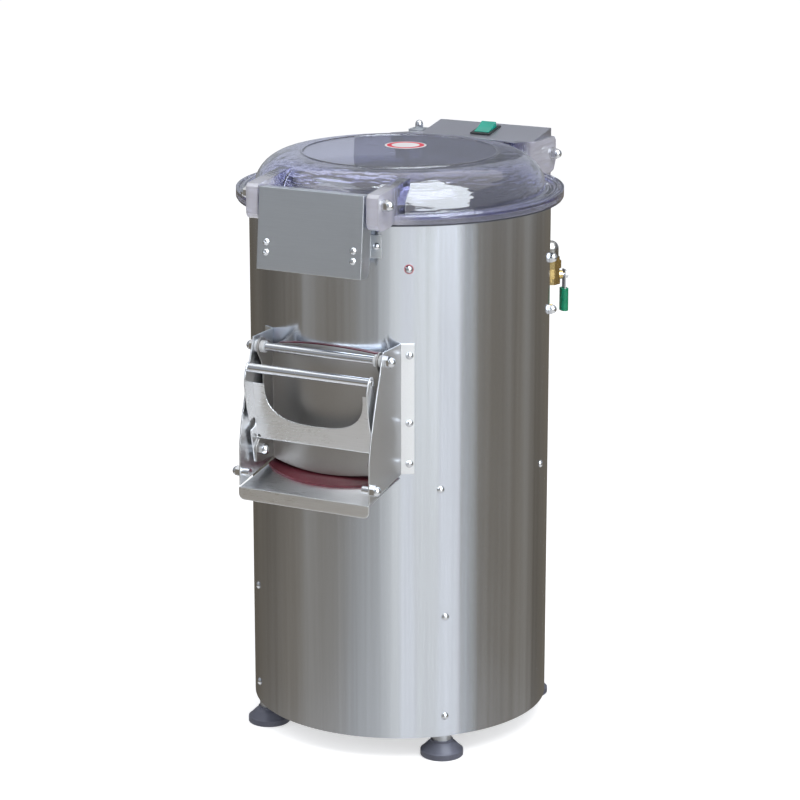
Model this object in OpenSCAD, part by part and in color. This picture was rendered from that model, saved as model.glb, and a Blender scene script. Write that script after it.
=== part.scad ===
// Drum potato peeler with a hinged clear lid, a discharge chute and a water inlet valve.
// Origin: on the floor, under the drum's axis. +Z up, the chute faces -Y.

/* [Drum] */
// Outer radius of the drum
drum_r = 200; // [195:1:210]
// Thickness of the drum's sheet
drum_wall = 1.5; // [1:0.1:2]
// Height of the drum's bottom edge above the floor
drum_base = 30; // [28:1:40]
// Height of the drum's top edge above the floor
drum_top = 719.2; // [715:0.1:740]
// Height of the lowest row of screws above the drum's bottom edge
base_screw_h = 28; // [20:1:32]
// Height of the motor plate above the drum's bottom edge
motor_plate_h = 150; // [145:1:155]

/* [Feet] */
// Radius of a foot where it stands on the floor
foot_r = 28.5; // [24:0.5:32]
// Height of the foot's upright edge
foot_band_h = 8; // [5:0.5:10]
// Radius of the foot's neck
foot_neck_r = 15; // [14:0.5:17]
// Height of the rubber part of a foot
foot_pad_h = 22; // [18:0.5:24]
// Radius of the metal collar on a foot
foot_collar_r = 12.8; // [10:0.2:14]
// Distance of the feet's centres in from the drum's surface
foot_inset = 13; // [12:0.2:20]

/* [Peeling chamber] */
// Thickness of the chamber floor and its rim
pan_t = 1.5; // [1:0.1:2.5]
// Height of the chamber floor's rim
pan_rim_h = 50; // [46:1:52]
// Thickness of the abrasive liner
liner_t = 4; // [3:0.5:5]
// Gap between the abrasive disc and the liner
disc_gap = 3.5; // [2.5:0.5:5]
// Thickness of the abrasive disc at its edge
disc_t = 6; // [5:0.5:8]
// Height of the disc's waves
wave_h = 10; // [6:1:12]
// Number of waves on the disc
wave_count = 3; // [3:1:4]
// Outer radius of the waste outlet
outlet_r = 25; // [20:1:25]
// Length of the waste outlet outside the drum
outlet_l = 62; // [50:1:80]

/* [Drive] */
// Radius of the drive shaft
shaft_r = 12.5; // [10:0.5:14]
// Outer radius of the shaft's bearings
bearing_r = 26; // [24:0.5:28]
// Height of a bearing
bearing_h = 15; // [12:1:16]
// Radius of the bearing housing's body
housing_r = 36; // [34:1:38]
// Length of the bearing housing below the chamber floor
housing_l = 110; // [90:1:115]
// Distance between the shaft and the motor
motor_offset = 125; // [123:1:128]
// Radius of the motor over its fins
motor_r = 62; // [55:1:62]
// Height of the motor
motor_h = 140; // [110:1:145]
// Radius of the driven pulley
pulley_r = 75; // [65:1:80]
// Radius of the motor pulley
motor_pulley_r = 28; // [24:1:32]

/* [Chute] */
// Height of the front lip of the chute's tray
chute_z = 373.4; // [368:0.1:385]
// Reach of the chute's front from the drum's surface
chute_out = 64; // [62:0.5:66]
// Gap between the door's side and the cheek
cheek_gap = 6.2; // [6.1:0.1:8]
// Thickness of the sheet of chute, door and handle
sheet_t = 1.5; // [1.2:0.1:1.6]
// Height of the cheeks above the tray's lip
cheek_h = 191; // [188:1:200]
// Depth of the tray's turned-down lip
lip_h = 16.5; // [12:0.5:20]
// Rise of the tray per millimetre towards the drum
tray_slope = 0.17; // [0.1:0.01:0.2]
// Half of the width of the drum's window
window_half = 68; // [60:1:70]
// Height of the window's lower edge above the tray's lip
window_low = 29; // [27:1:34]
// Height of the window
window_h = 146; // [130:1:148]
// Thickness of the red flap on the tray
flap_t = 3; // [2:0.5:3.5]

/* [Door] */
// Radius by which the door is flatter than the drum
door_curve = 40; // [35:1:60]
// Distance of the door's outer face from the drum's surface
door_gap = 7; // [6.5:0.1:8]
// Half of the door's width
door_half = 87.5; // [86:0.1:87.6]
// Height of the door's lower edge above the tray's lip
door_low = 14.6; // [14:0.2:18]
// Height of the door
door_h = 170.7; // [166:0.1:172]
// Radius of the hinge rod
rod_r = 5.5; // [5:0.1:6.5]
// Distance of the door's hinge rod from the drum's surface
rod_gap = 18.2; // [17:0.2:20]
// Height of the hinge rod above the tray's lip
rod_up = 177.4; // [177:0.2:178.5]
// Radius of the nylon bushes on the rod
bush_r = 7.8; // [7.4:0.1:8.4]

/* [Handle] */
// Distance of the handle's pivot from the drum's surface
pivot_gap = 26; // [25.5:0.1:26.5]
// Height of the handle's pivot above the tray's lip
pivot_up = 42.6; // [42:0.1:43]
// Distance of the locking studs from the drum's surface
stud_gap = 57.5; // [57:0.1:58]
// Height of the locking studs above the tray's lip
stud_up = 18.6; // [18:0.1:19]
// Radius of the locking studs
stud_r = 5; // [4.5:0.1:5.2]
// Angle of the hook above the horizontal while the handle is up
hook_rest = 72.3; // [72:0.1:75]
// Radius of the handle's cross bar
bar_r = 6; // [5:0.2:7]
// Distance of the cross bar from the drum's surface
bar_gap = 47; // [46:0.5:48]
// Height of the cross bar above the tray's lip
bar_up = 155.6; // [155:0.2:157]

/* [Lid] */
// Overhang of the lid's rim beyond the drum
lid_over = 17; // [16:0.5:19]
// Height of the rim's outer band
lid_rim_h = 11; // [10:0.5:12]
// Width of the rim round the dome
lid_rim_w = 24; // [23:0.5:27]
// Width of the dome's round shoulder
dome_round = 53; // [43:1:68]
// Height of the dome above the rim's underside
dome_h = 57; // [50:1:62]
// Thickness of the clear plastic
lid_t = 4; // [3:0.5:5]
// Thickness of the gasket that shows under the rim
gasket_t = 2.5; // [2:0.1:3]
// Distance of the ears' outer sides beyond the control box
ear_gap = 9; // [8:0.5:10]
// Width of an ear
ear_w = 17; // [15:0.5:17.5]
// Distance of the latch pin in front of the lid's rim
latch_gap = 8; // [7:0.5:9]
// Distance of the hinge pin behind the lid's rim
hinge_gap = 55; // [53:0.5:56]
// Height of the latch pin above the rim's underside
latch_up = 30; // [28:0.5:31]
// Height of the lid's hinge pin above the rim's underside
hinge_up = 20; // [19:0.5:21]

/* [Latch] */
// Half of the width of the latch plate
latch_half = 75; // [72:0.5:76]
// Length of the latch plate below its pin
latch_drop = 94; // [90:0.5:98]
// Distance of the latch plate from its pin
latch_stand = 14.1; // [13.5:0.1:15]
// Angle by which the latch plate hangs out while it is not pressed in
latch_tilt = 5.5; // [5.4:0.1:5.8]
// Depth of the latch plate's turned-in sides
latch_deep = 22; // [20:0.5:24]
// Radius of the latch pin and of the hinge pin
pin_r = 4; // [3.5:0.1:4.5]

/* [Control box] */
// Half of the width of the control box
box_half = 86; // [80:0.5:86.2]
// Distance of the control box behind the lid's rim
box_gap = 6.5; // [6:0.5:8]
// Depth of the control box
box_deep = 64.5; // [62.5:0.5:71.5]
// Height of the box's bottom below the lid's rim
box_drop = 162; // [120:1:180]
// Height of the box's top at its rear above the rim's underside
box_rise = 52.3; // [50:0.1:54]
// Rise of the box's top per millimetre towards the rear
box_slope = 0.1756; // [0.14:0.01:0.19]
// Width of the switch's bezel
switch_w = 29.5; // [26:0.5:32]
// Length of the switch's bezel
switch_l = 38; // [34:0.5:40]

/* [Water inlet] */
// Direction of the water inlet, counted from the front towards the right
inlet_angle = 137; // [134:1:140]
// Height of the inlet below the drum's top edge
inlet_drop = 86; // [80:1:110]
// Distance of the upright pipe from the drum's surface
inlet_out = 17; // [16:0.5:18.5]
// Outer radius of the elbow
elbow_r = 10.5; // [9.5:0.1:11]
// Radius of the water passage
water_r = 6; // [5:0.1:6.2]
// Radius of the valve's threaded inlet
inlet_r = 8.3; // [8:0.1:8.6]
// Diameter of the green sleeve on the lever
sleeve_d = 10; // [8:0.5:12]

/* [Hidden] */
$fn = 96;

// Clearances
touch = 0.1;       // between curved faces of one body that seat on each other
seat = 0.3;        // between a moving piece and what it rests on
run = 0.05;        // radial, of a pin that turns in its bore
fit_gap = 0.02;    // radial, of a fixed pin in its bore
far = 400;         // longer than any cut needs
across = 120;       // longer than any bore from the middle

// Drum and what is fastened in it
drum_in = drum_r - drum_wall;
inner_r = drum_in - seat;
screw_r = 2.4;
screw_hole = 2.6;
head_r = 5;
head_h = 3.2;
grip = 8;
corner_angles = [45, 135, 225, 315];
foot_circle_r = drum_r - foot_inset;
base_screw_z = drum_base + base_screw_h;
motor_plate_z = drum_base + motor_plate_h;
motor_screw_z = motor_plate_z + 16;

// Peeling chamber, counted from the chute
window_z = chute_z + window_low;
pan_z = chute_z - 38.4;
pan_screw_z = pan_z + 35;
pan_screw_angles = [43, 97, 151, 209, 263, 317];
disc_z = pan_z + 49;
disc_r = inner_r - liner_t - disc_gap;
hub_r = 30;
hub_z = disc_z - 28;
liner_z = pan_z + pan_rim_h + 7;
liner_top = drum_top - 18;
liner_screw_z = drum_top - 57.2;
liner_rear = asin((box_half + 14) / drum_r);
liner_screw_angles = [31, 180 - liner_rear, 180 + liner_rear];
outlet_z = pan_z + pan_t + outlet_r + 1.5;
outlet_wall = 2;
hose_stop = 6;

// Drive
housing_top = pan_z + 15;
housing_z = pan_z - housing_l;
shaft_z = motor_plate_z - 48;
pulley_z = motor_plate_z - 40;
pulley_h = 24;
belt_h = 10;
belt_t = 8;
belt_depth = 1;
loop_dip = 0.02;
motor_shaft_r = 7;
motor_hub_r = 12;

// Chute: places are [distance in front of the axis as -y, height]
chute_reach = drum_r + chute_out;
cheek_in = door_half + cheek_gap;
cheek_out = cheek_in + sheet_t;
flange_w = 4.6;
bolt_angle = asin((cheek_out + 8.4) / drum_r);
bolt_z = [chute_z + 33.6, chute_z + 87.6, chute_z + cheek_h - 14.4];
rod = [-drum_r - rod_gap, chute_z + rod_up];
pivot = [-drum_r - pivot_gap, chute_z + pivot_up];
stud = [-drum_r - stud_gap, chute_z + stud_up];
bar = [-drum_r - bar_gap, chute_z + bar_up];
thread_r = 4;
acorn_af = 13;
acorn_hex = 6.5;

// Door
door_front = drum_r + door_gap;
door_r = drum_r + door_curve;
door_cy = door_r - door_front;
door_z = chute_z + door_low;
door_top = door_z + door_h;
door_side = door_cy - sqrt(door_r * door_r - door_half * door_half);
flange_in = door_half - sheet_t;
seal_w = 11;
seal_show = 0.5;
door_arc = 368;
seal_relief = 2.8;

// Handle
arm_in = door_half + 0.5;
arm_out = arm_in + sheet_t;
hook_r = norm(stud - pivot);
hook = pivot + hook_r * [-cos(hook_rest), sin(hook_rest)];
notch_r = stud_r + 1.6;
web_foot = pivot + [-3.3, 15.4];
web_head = pivot + [-12.8, 91];
web_tilt = atan2(web_foot[0] - web_head[0], web_head[1] - web_foot[1]);
web_h = norm(web_head - web_foot);
web_half = arm_in + sheet_t / 2;
cut_half = 72;
cut_low = 26.3;
cut_power = 2.8;

// Lid
lid_r = drum_r + lid_over;
dome_r = lid_r - lid_rim_w;
dome_flat_r = dome_r - dome_round;
latch_out = lid_r + latch_gap;
hinge_out = lid_r + hinge_gap;
box_front = lid_r + box_gap;
box_rear = box_front + box_deep;
gasket_z = drum_top + seat;
rim_z = gasket_z + gasket_t;
rim_top = rim_z + lid_rim_h;
rim_band = 3;
rim_roof = 5;
dome_top = rim_z + dome_h;
dome_foot = rim_z + lid_rim_h - 1;
ear_out = box_half + ear_gap;
ear_in = ear_out - ear_w;
ear_wall = 3;
ear_roof = rim_z + 49;
box_edge_z = box_rise - box_slope * box_deep - hinge_up;
box_clear = norm([hinge_out - box_front, box_edge_z]) + 2.5;
latch_pin_at = [-latch_out, rim_z + latch_up];
hinge_at = [hinge_out, rim_z + hinge_up];
pin_end = 105.5;
washer_t = 1.6;

// Latch
plate_y = -(latch_out + latch_stand);
plate_low = latch_pin_at[1] - latch_drop;
plate_high = latch_pin_at[1] + 10.6;
latch_screw_z = [latch_pin_at[1] - 59, latch_pin_at[1] - 72];
latch_screw_x = 62.5;
hook_z = latch_pin_at[1] - 79.5;
lip_y = -(latch_out + 2.5);

// Control box
box_t = 1.5;
box_low = rim_z - box_drop;
gland_x = box_half - 36;
box_step = drum_top - 5;
switch_y = box_front + 33.5;
rocker_w = 22;
rocker_pin_r = 1.8;
rocker_l = 27;

// Water inlet, counted outwards from the drum's surface
inlet_z = drum_top - inlet_drop;
elbow_low = inlet_z - 11;
union_low = inlet_z - 27;
union_high = inlet_z - 11.7;
valve_low = inlet_z - 49;
stem_z = inlet_z - 37.5;
valve_r = 12;
ball_r = 5.3;
ball_hole = 3.2;
stem_r = 3;
lever_y = 23;

// ---- general shapes ----

// Children drawn along +Z stand on the drum's surface, pointing outwards
module on_drum(angle, z) {
    rotate([0, 0, angle]) translate([0, -drum_r, z]) rotate([90, 0, 0]) children();
}

// A flat outline seen from the front, from y = front backwards by depth
module from_front(front, depth) {
    translate([0, front + depth, 0]) rotate([90, 0, 0]) linear_extrude(depth) children();
}

// A flat outline in (y, z), from x = low by thick
module from_side(low, thick) {
    translate([low, 0, 0]) rotate([90, 0, 90]) linear_extrude(thick) children();
}

// A bar or bore along X at the place [y, z]
module along_x(place, low, high, r) {
    translate([low, place[0], place[1]]) rotate([0, 90, 0]) cylinder(r = r, h = high - low);
}

module both_sides() {
    children();
    mirror([1, 0, 0]) children();
}

module rounded(w, h, r) {
    translate([-w / 2, r]) square([w, h - 2 * r]);
    translate([r - w / 2, 0]) square([w - 2 * r, h]);
    for (x = [r - w / 2, w / 2 - r], z = [r, h - r])
        translate([x, z]) circle(r);
}

module tube(outer, inner, h) {
    difference() {
        cylinder(r = outer, h = h);
        translate([0, 0, -1]) cylinder(r = inner, h = h + 2);
    }
}

// Part of a ring around the drum's axis between two angles
module ring_part(outer, inner, z, h, from, to) {
    intersection() {
        translate([0, 0, z]) tube(outer, inner, h);
        translate([0, 0, z - 1])
            linear_extrude(h + 2)
                polygon([
                    [0, 0], far * [sin(from), -cos(from)],
                    far * [sin((from + to) / 2), -cos((from + to) / 2)],
                    far * [sin(to), -cos(to)]
                ]);
    }
}

module dome_head(r, h) {
    ball = (r * r + h * h) / (2 * h);
    intersection() {
        translate([0, 0, h - ball]) sphere(ball);
        cylinder(r = r, h = h + 1);
    }
}

// Dome-head screw with its nut on the inner side of the sheets
module screw(through) {
    translate([0, 0, touch]) dome_head(head_r, head_h);
    translate([0, 0, -through]) cylinder(r = screw_r, h = through + 1);
    translate([0, 0, -through]) cylinder(r = 4.5, h = 3.5, $fn = 6);
}

// Closed nut standing on z = 0, across flats af
module acorn_solid(af, hex_h) {
    r = af / 2;
    cylinder(r = r / cos(30), h = hex_h, $fn = 6);
    translate([0, 0, hex_h])
        intersection() {
            sphere(r);
            cylinder(r = r, h = r);
        }
}

// The same nut with room for the end of its stud
module acorn(af, hex_h, bore, depth) {
    difference() {
        acorn_solid(af, hex_h);
        translate([0, 0, -1]) cylinder(r = bore, h = depth + 1);
    }
}

module acorn_on_x(place, x) {
    translate([x, place[0], place[1]])
        rotate([0, 90, 0])
            acorn(acorn_af, acorn_hex, thread_r + fit_gap, acorn_hex + 2);
}

// ---- drum ----

module window_outline(grow) {
    translate([0, window_z - grow]) rounded(2 * (window_half + grow), window_h + 2 * grow, 14);
}

module screw_places() {
    for (a = corner_angles, z = [base_screw_z, motor_screw_z]) on_drum(a, z) children();
    for (a = pan_screw_angles) on_drum(a, pan_screw_z) children();
}

module plate_screw_places() {
    for (s = [-1, 1], z = bolt_z) on_drum(s * bolt_angle, z) children();
    for (s = [-1, 1]) on_drum(s * keeper_angle, keeper_screw_z) children();
}

module liner_screw_places() {
    for (a = liner_screw_angles) on_drum(a, liner_screw_z) children();
}

module side_bolt_places() {
    for (z = [drum_top - 148.2, drum_top - 78.2]) on_drum(110, z) children();
}

module screw_hole() {
    translate([0, 0, -12]) cylinder(r = screw_hole, h = 24);
}

module drum_shell() {
    color("silver")
        difference() {
            translate([0, 0, drum_base]) tube(drum_r, drum_in, drum_top - drum_base);
            from_front(-drum_r - 5, 60) window_outline(0);
            screw_places() screw_hole();
            plate_screw_places() screw_hole();
            liner_screw_places() screw_hole();
            side_bolt_places() translate([0, 0, -20]) cylinder(r = thread_r + touch, h = 40);
            on_drum(180, outlet_z) translate([0, 0, -20]) cylinder(r = outlet_r + seat, h = 40);
            on_drum(inlet_angle, inlet_z)
                translate([0, 0, -20]) cylinder(r = elbow_r - 2 + seat, h = 40);
        }
}

module base_ring() {
    z = drum_base + touch;
    color("gray")
        difference() {
            union() {
                translate([0, 0, z]) tube(inner_r, foot_circle_r - 22, 3);
                translate([0, 0, z]) tube(inner_r, inner_r - 2, base_screw_h + 12);
            }
            for (a = corner_angles) {
                on_drum(a, base_screw_z) screw_hole();
                rotate([0, 0, a])
                    translate([0, -foot_circle_r, 0]) cylinder(r = 5 + fit_gap, h = 2 * drum_base);
            }
        }
}

module at_feet() {
    for (a = corner_angles) rotate([0, 0, a]) translate([0, -foot_circle_r, 0]) children();
}

module foot_pads() {
    color("dimgray")
        at_feet() {
            difference() {
                rotate_extrude()
                    polygon([
                        [0, 0], [foot_r - 1, 0], [foot_r, 1], [foot_r, foot_band_h],
                        [foot_r - 2, foot_band_h + 1.2], [foot_neck_r + 4, foot_pad_h - 5],
                        [foot_neck_r, foot_pad_h - 2.5], [foot_neck_r, foot_pad_h], [0, foot_pad_h]
                    ]);
                translate([0, 0, 4]) cylinder(r = 5 + fit_gap, h = foot_pad_h);
            }
        }
}

module foot_collars() {
    nut_z = drum_base + touch + 3;
    color("silver")
        at_feet() {
            translate([0, 0, foot_pad_h])
                cylinder(r = foot_collar_r, h = drum_base - foot_pad_h - touch);
            translate([0, 0, 4.5]) cylinder(r = 5, h = nut_z + 8);
            translate([0, 0, nut_z]) cylinder(r = 9, h = 6, $fn = 6);
        }
}

module housing_screws() {
    plate = sheet_t + touch;
    color("silver") {
        screw_places() screw(grip);
        plate_screw_places() translate([0, 0, plate]) screw(grip + plate);
        liner_screw_places() translate([0, 0, washer_t + touch]) screw(grip + 3.3);
        for (x = [-1, 1], z = cover_screw_z)
            translate([x * (box_half - 7), box_rear + box_t, z])
                rotate([-90, 0, 0]) dome_head(4, 2.5);
    }
}

module liner_washers() {
    color("firebrick")
        liner_screw_places()
            translate([0, 0, touch]) tube(head_r + 1, screw_hole, washer_t);
}

module acorn_nuts() {
    color("silver") {
        both_sides() {
            acorn_on_x(rod, cheek_out);
            acorn_on_x(stud, cheek_out);
            acorn_on_x(hinge_at, ear_out + seat + washer_t);
            difference() {
                along_x(hinge_at, ear_out + seat, ear_out + seat + washer_t, 8);
                along_x(hinge_at, ear_out, ear_out + 5, thread_r + fit_gap);
            }
        }
        side_bolt_places() {
            translate([0, 0, touch]) acorn_solid(12, 4);
            translate([0, 0, -7]) cylinder(r = thread_r, h = 9);
        }
    }
}

// ---- peeling chamber ----

module chamber_floor() {
    color("lightgray")
        difference() {
            translate([0, 0, pan_z])
                rotate_extrude()
                    polygon([
                        [0, 0], [inner_r, 0], [inner_r, pan_rim_h], [inner_r - pan_t, pan_rim_h],
                        [inner_r - pan_t, pan_t], [0, pan_t]
                    ]);
            translate([0, 0, pan_z - 1]) cylinder(r = housing_r + touch, h = 10);
            for (a = pan_screw_angles) on_drum(a, pan_screw_z) screw_hole();
            on_drum(180, outlet_z) translate([0, 0, -20]) cylinder(r = outlet_r - outlet_wall, h = 40);
        }
}

module abrasive_liner() {
    color("dimgray")
        difference() {
            translate([0, 0, liner_z]) tube(inner_r, inner_r - liner_t, liner_top - liner_z);
            from_front(-drum_r - 5, 60) window_outline(1);
            liner_screw_places() screw_hole();
            plate_screw_places() translate([0, 0, -12]) cylinder(r = 6, h = 24);
            side_bolt_places() translate([0, 0, -12]) cylinder(r = 6, h = 24);
            on_drum(inlet_angle, inlet_z) translate([0, 0, -20]) cylinder(r = 16, h = 40);
        }
}

// One long rounded wave of the disc, lying along the radius
module disc_wave() {
    reach = disc_r - 52;
    scale_h = (wave_h + 30) / 2;
    intersection() {
        translate([0, -45, disc_z + disc_t + wave_h - 60])
            rotate([90, 0, 0]) cylinder(r = 60, h = reach);
        translate([-far, -far, disc_z + 1]) cube([2 * far, 2 * far, scale_h]);
    }
}

module abrasive_disc() {
    color("slategray")
        difference() {
            union() {
                translate([0, 0, disc_z]) cylinder(r = disc_r, h = disc_t);
                for (i = [0 : wave_count - 1]) rotate([0, 0, 60 + i * 360 / wave_count]) disc_wave();
                translate([0, 0, hub_z]) cylinder(r = hub_r, h = disc_z - hub_z + 1);
                for (a = [0, 180])
                    rotate([0, 0, a])
                        translate([hub_r - 2, -2, hub_z - 12]) cube([disc_r - hub_r - 12, 4, 42]);
            }
            translate([0, 0, hub_z - 20]) cylinder(r = housing_r + 6, h = 20);
            translate([0, 0, hub_z - 1]) cylinder(r = shaft_r + fit_gap, h = 60);
        }
}

module disc_nut() {
    color("silver")
        difference() {
            translate([0, 0, disc_z + disc_t]) {
                cylinder(r = 20, h = 4);
                translate([0, 0, 3.9]) dome_head(17, 11);
            }
            translate([0, 0, disc_z]) cylinder(r = 8 + fit_gap, h = disc_t + 8);
        }
}

module drive_shaft() {
    color("silver") {
        translate([0, 0, shaft_z]) cylinder(r = shaft_r, h = disc_z + disc_t - shaft_z);
        translate([0, 0, disc_z + disc_t - 1]) cylinder(r = 8, h = 8);
    }
}

module bearing_housing() {
    flange_h = 8;
    color("darkgray")
        difference() {
            union() {
                translate([0, 0, housing_z]) cylinder(r = housing_r, h = housing_top - housing_z);
                translate([0, 0, pan_z - flange_h - touch]) cylinder(r = 58, h = flange_h);
                for (a = [30, 90, 150, 210, 270, 330])
                    rotate([0, 0, a])
                        translate([housing_r - 1, -2.5, housing_z + 20])
                            cube([12, 5, housing_l - 27]);
            }
            translate([0, 0, housing_z - 1]) cylinder(r = shaft_r + 3, h = 300);
            translate([0, 0, housing_z - 1]) cylinder(r = bearing_r + fit_gap, h = bearing_h + 1);
            translate([0, 0, housing_top - 12 - bearing_h])
                cylinder(r = bearing_r + fit_gap, h = bearing_h + 30);
        }
}

module shaft_bearings() {
    color("silver")
        for (z = [housing_z, housing_top - 12 - bearing_h])
            translate([0, 0, z])
                difference() {
                    tube(bearing_r, shaft_r + run, bearing_h);
                    for (side = [-1, bearing_h - 1.5])
                        translate([0, 0, side]) tube(bearing_r - 3.5, shaft_r + 3.5, 2.5);
                }
}

module shaft_seal() {
    color("black")
        translate([0, 0, housing_top - 11.5])
            difference() {
                cylinder(r = bearing_r, h = 11);
                translate([0, 0, -1]) cylinder(r = shaft_r + run, h = 20);
                translate([0, 0, 4]) cylinder(r = bearing_r - 6, h = 8);
                translate([0, 0, -1]) cylinder(r = shaft_r + 4, h = 3);
            }
}

// ---- drive ----

module pulley(r, hub, bore) {
    half = pulley_h / 2;
    floor_r = r - belt_depth - belt_t - 1;
    difference() {
        rotate_extrude()
            polygon([
                [0, 0], [hub, 0], [hub, 4], [r - 16, 4], [r - 16, half - 9], [r, half - 9],
                [r, half - belt_h / 2 - 1.6], [floor_r, half - belt_h / 2 - seat],
                [floor_r, half + belt_h / 2 + seat], [r, half + belt_h / 2 + 1.6],
                [r, half + 9], [r - 16, half + 9], [r - 16, pulley_h - 4], [hub, pulley_h - 4],
                [hub, pulley_h], [0, pulley_h]
            ]);
        translate([0, 0, -1]) cylinder(r = bore, h = pulley_h + 2);
    }
}

module driven_pulley() {
    color("gray")
        difference() {
            translate([0, 0, pulley_z]) pulley(pulley_r, 22, shaft_r + fit_gap);
            for (a = [0 : 72 : 359])
                rotate([0, 0, a]) translate([40, 0, pulley_z - 1]) cylinder(r = 11, h = pulley_h + 2);
        }
}

module motor_pulley() {
    color("gray") {
        translate([0, motor_offset, pulley_z]) pulley(motor_pulley_r, motor_hub_r, 0.01);
        translate([0, motor_offset, pulley_z + pulley_h - 1])
            cylinder(r = motor_shaft_r, h = motor_plate_z - pulley_z - pulley_h - 2);
    }
}

// Outline of a loop around both pulleys whose radii are less than theirs by cut
module loop_outline(cut) {
    a = pulley_r - cut;
    b = motor_pulley_r - cut;
    lean = asin((a - b) / motor_offset);
    near = (a - loop_dip) * [cos(lean), sin(lean)];
    far = [0, motor_offset] + (b - loop_dip) * [cos(lean), sin(lean)];
    circle(a);
    translate([0, motor_offset]) circle(b);
    polygon([near, far, [-far[0], far[1]], [-near[0], near[1]]]);
}

module drive_belt() {
    color("black")
        translate([0, 0, pulley_z + (pulley_h - belt_h) / 2])
            linear_extrude(belt_h)
                difference() {
                    loop_outline(belt_depth);
                    loop_outline(belt_depth + belt_t);
                }
}

module motor_plate() {
    color("gray")
        difference() {
            union() {
                translate([0, 0, motor_plate_z]) tube(inner_r, shaft_r + 8, 3);
                for (a = corner_angles)
                    ring_part(inner_r, inner_r - 2, motor_plate_z, 28, a - 9, a + 9);
            }
            for (a = corner_angles) on_drum(a, motor_screw_z) screw_hole();
            for (s = [-1, 1])
                translate([s * (drum_r - 90), 0, motor_plate_z - 1]) cylinder(r = 45, h = 6);
            translate([0, 80 - drum_r, motor_plate_z - 1]) cylinder(r = 50, h = 6);
            translate([0, motor_offset, motor_plate_z - 1]) cylinder(r = motor_hub_r, h = 6);
        }
}

module motor() {
    fin = 5;
    body_r = motor_r - fin;
    z = motor_plate_z + 3 + touch;
    color("steelblue")
        translate([0, motor_offset, z]) {
            cylinder(r = motor_r, h = 10);
            cylinder(r = body_r, h = motor_h - 8);
            for (a = [0 : 20 : 359])
                rotate([0, 0, a])
                    translate([body_r - 1, -1.5, 9]) cube([fin + 0.5, 3, motor_h - 45]);
            translate([0, 0, motor_h - 30]) cylinder(r = motor_r, h = 22);
            translate([0, 0, motor_h - 8]) cylinder(r = body_r - 6, h = 8);
        }
}

module waste_outlet() {
    color("silver")
        difference() {
            union() {
                on_drum(180, outlet_z) translate([0, 0, -8]) cylinder(r = outlet_r, h = outlet_l + 8);
                on_drum(180, outlet_z) cylinder(r = outlet_r + 2.5, h = hose_stop);
                intersection() {
                    tube_z = outlet_z - 40;
                    translate([0, 0, tube_z]) cylinder(r = drum_r + touch + 2, h = 80);
                    on_drum(180, outlet_z) translate([0, 0, -10]) cylinder(r = outlet_r + 11, h = 40);
                }
            }
            difference() {
                translate([0, 0, outlet_z - 60]) cylinder(r = drum_r + touch, h = 120);
                on_drum(180, outlet_z) translate([0, 0, -10]) cylinder(r = outlet_r, h = 40);
            }
            translate([0, 0, outlet_z - 60]) cylinder(r = drum_in - touch, h = 120);
            on_drum(180, outlet_z)
                translate([0, 0, -20]) cylinder(r = outlet_r - outlet_wall, h = outlet_l + 40);
        }
}

module cable_gland() {
    color("black")
        translate([gland_x, (box_rear + drum_r) / 2 + 6, box_low])
            difference() {
                union() {
                    translate([0, 0, -7]) cylinder(r = 12, h = 7 - touch, $fn = 6);
                    translate([0, 0, -18]) cylinder(r = 9.5, h = 12);
                    translate([0, 0, -1]) cylinder(r = 8, h = 8);
                    translate([0, 0, box_t + touch]) cylinder(r = 11.5, h = 5, $fn = 6);
                }
                translate([0, 0, -20]) cylinder(r = 4.5, h = 40);
            }
}

// ---- chute ----

module cheek_outline() {
    polygon([
        [-drum_r + 40, chute_z + cheek_h + 1.5],
        [-chute_reach + 38, chute_z + cheek_h],
        [-chute_reach + 6, chute_z + cheek_h - 104.5],
        [-chute_reach + 0.5, chute_z + cheek_h - 134.5],
        [-chute_reach, chute_z + 1.6],
        [-drum_r + 40, chute_z + 1.6 + 0.2057 * (chute_reach - drum_r + 40)]
    ]);
}

module chute_cheek() {
    flange_to = asin(cheek_out / drum_r) + flange_w;
    low = chute_z + 20;
    difference() {
        union() {
            from_side(cheek_in, sheet_t) cheek_outline();
            ring_part(
                drum_r + touch + sheet_t, drum_r + touch, low, cheek_h - 19,
                asin(cheek_in / drum_r), flange_to
            );
        }
        translate([0, 0, chute_z - 50]) cylinder(r = drum_r + touch, h = 300);
        along_x(rod, cheek_in - 10, across, thread_r + fit_gap);
        along_x(stud, cheek_in - 10, across, thread_r + fit_gap);
        for (z = bolt_z) on_drum(bolt_angle, z) screw_hole();
    }
}

module chute_cheek_right() {
    color("lightgray") chute_cheek();
}

module chute_cheek_left() {
    color("lightgray") mirror([1, 0, 0]) chute_cheek();
}

function tray_z(y) = chute_z + tray_slope * (y + chute_reach);

module chute_tray() {
    front = -chute_reach - touch - sheet_t;
    back = -drum_r + 60;
    color("lightgray")
        difference() {
            union() {
                from_side(-cheek_in + touch, 2 * (cheek_in - touch))
                    polygon([
                        [front, tray_z(front)], [back, tray_z(back)],
                        [back, tray_z(back) - sheet_t], [front, tray_z(front) - sheet_t]
                    ]);
                from_front(front, sheet_t)
                    translate([0, chute_z - lip_h]) rounded(2 * cheek_out, lip_h, 8);
                from_front(front, sheet_t)
                    translate([-cheek_out, chute_z - lip_h / 2]) square([2 * cheek_out, lip_h / 2]);
            }
            translate([0, 0, chute_z - 50]) cylinder(r = drum_r + seat, h = 300);
        }
}

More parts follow.
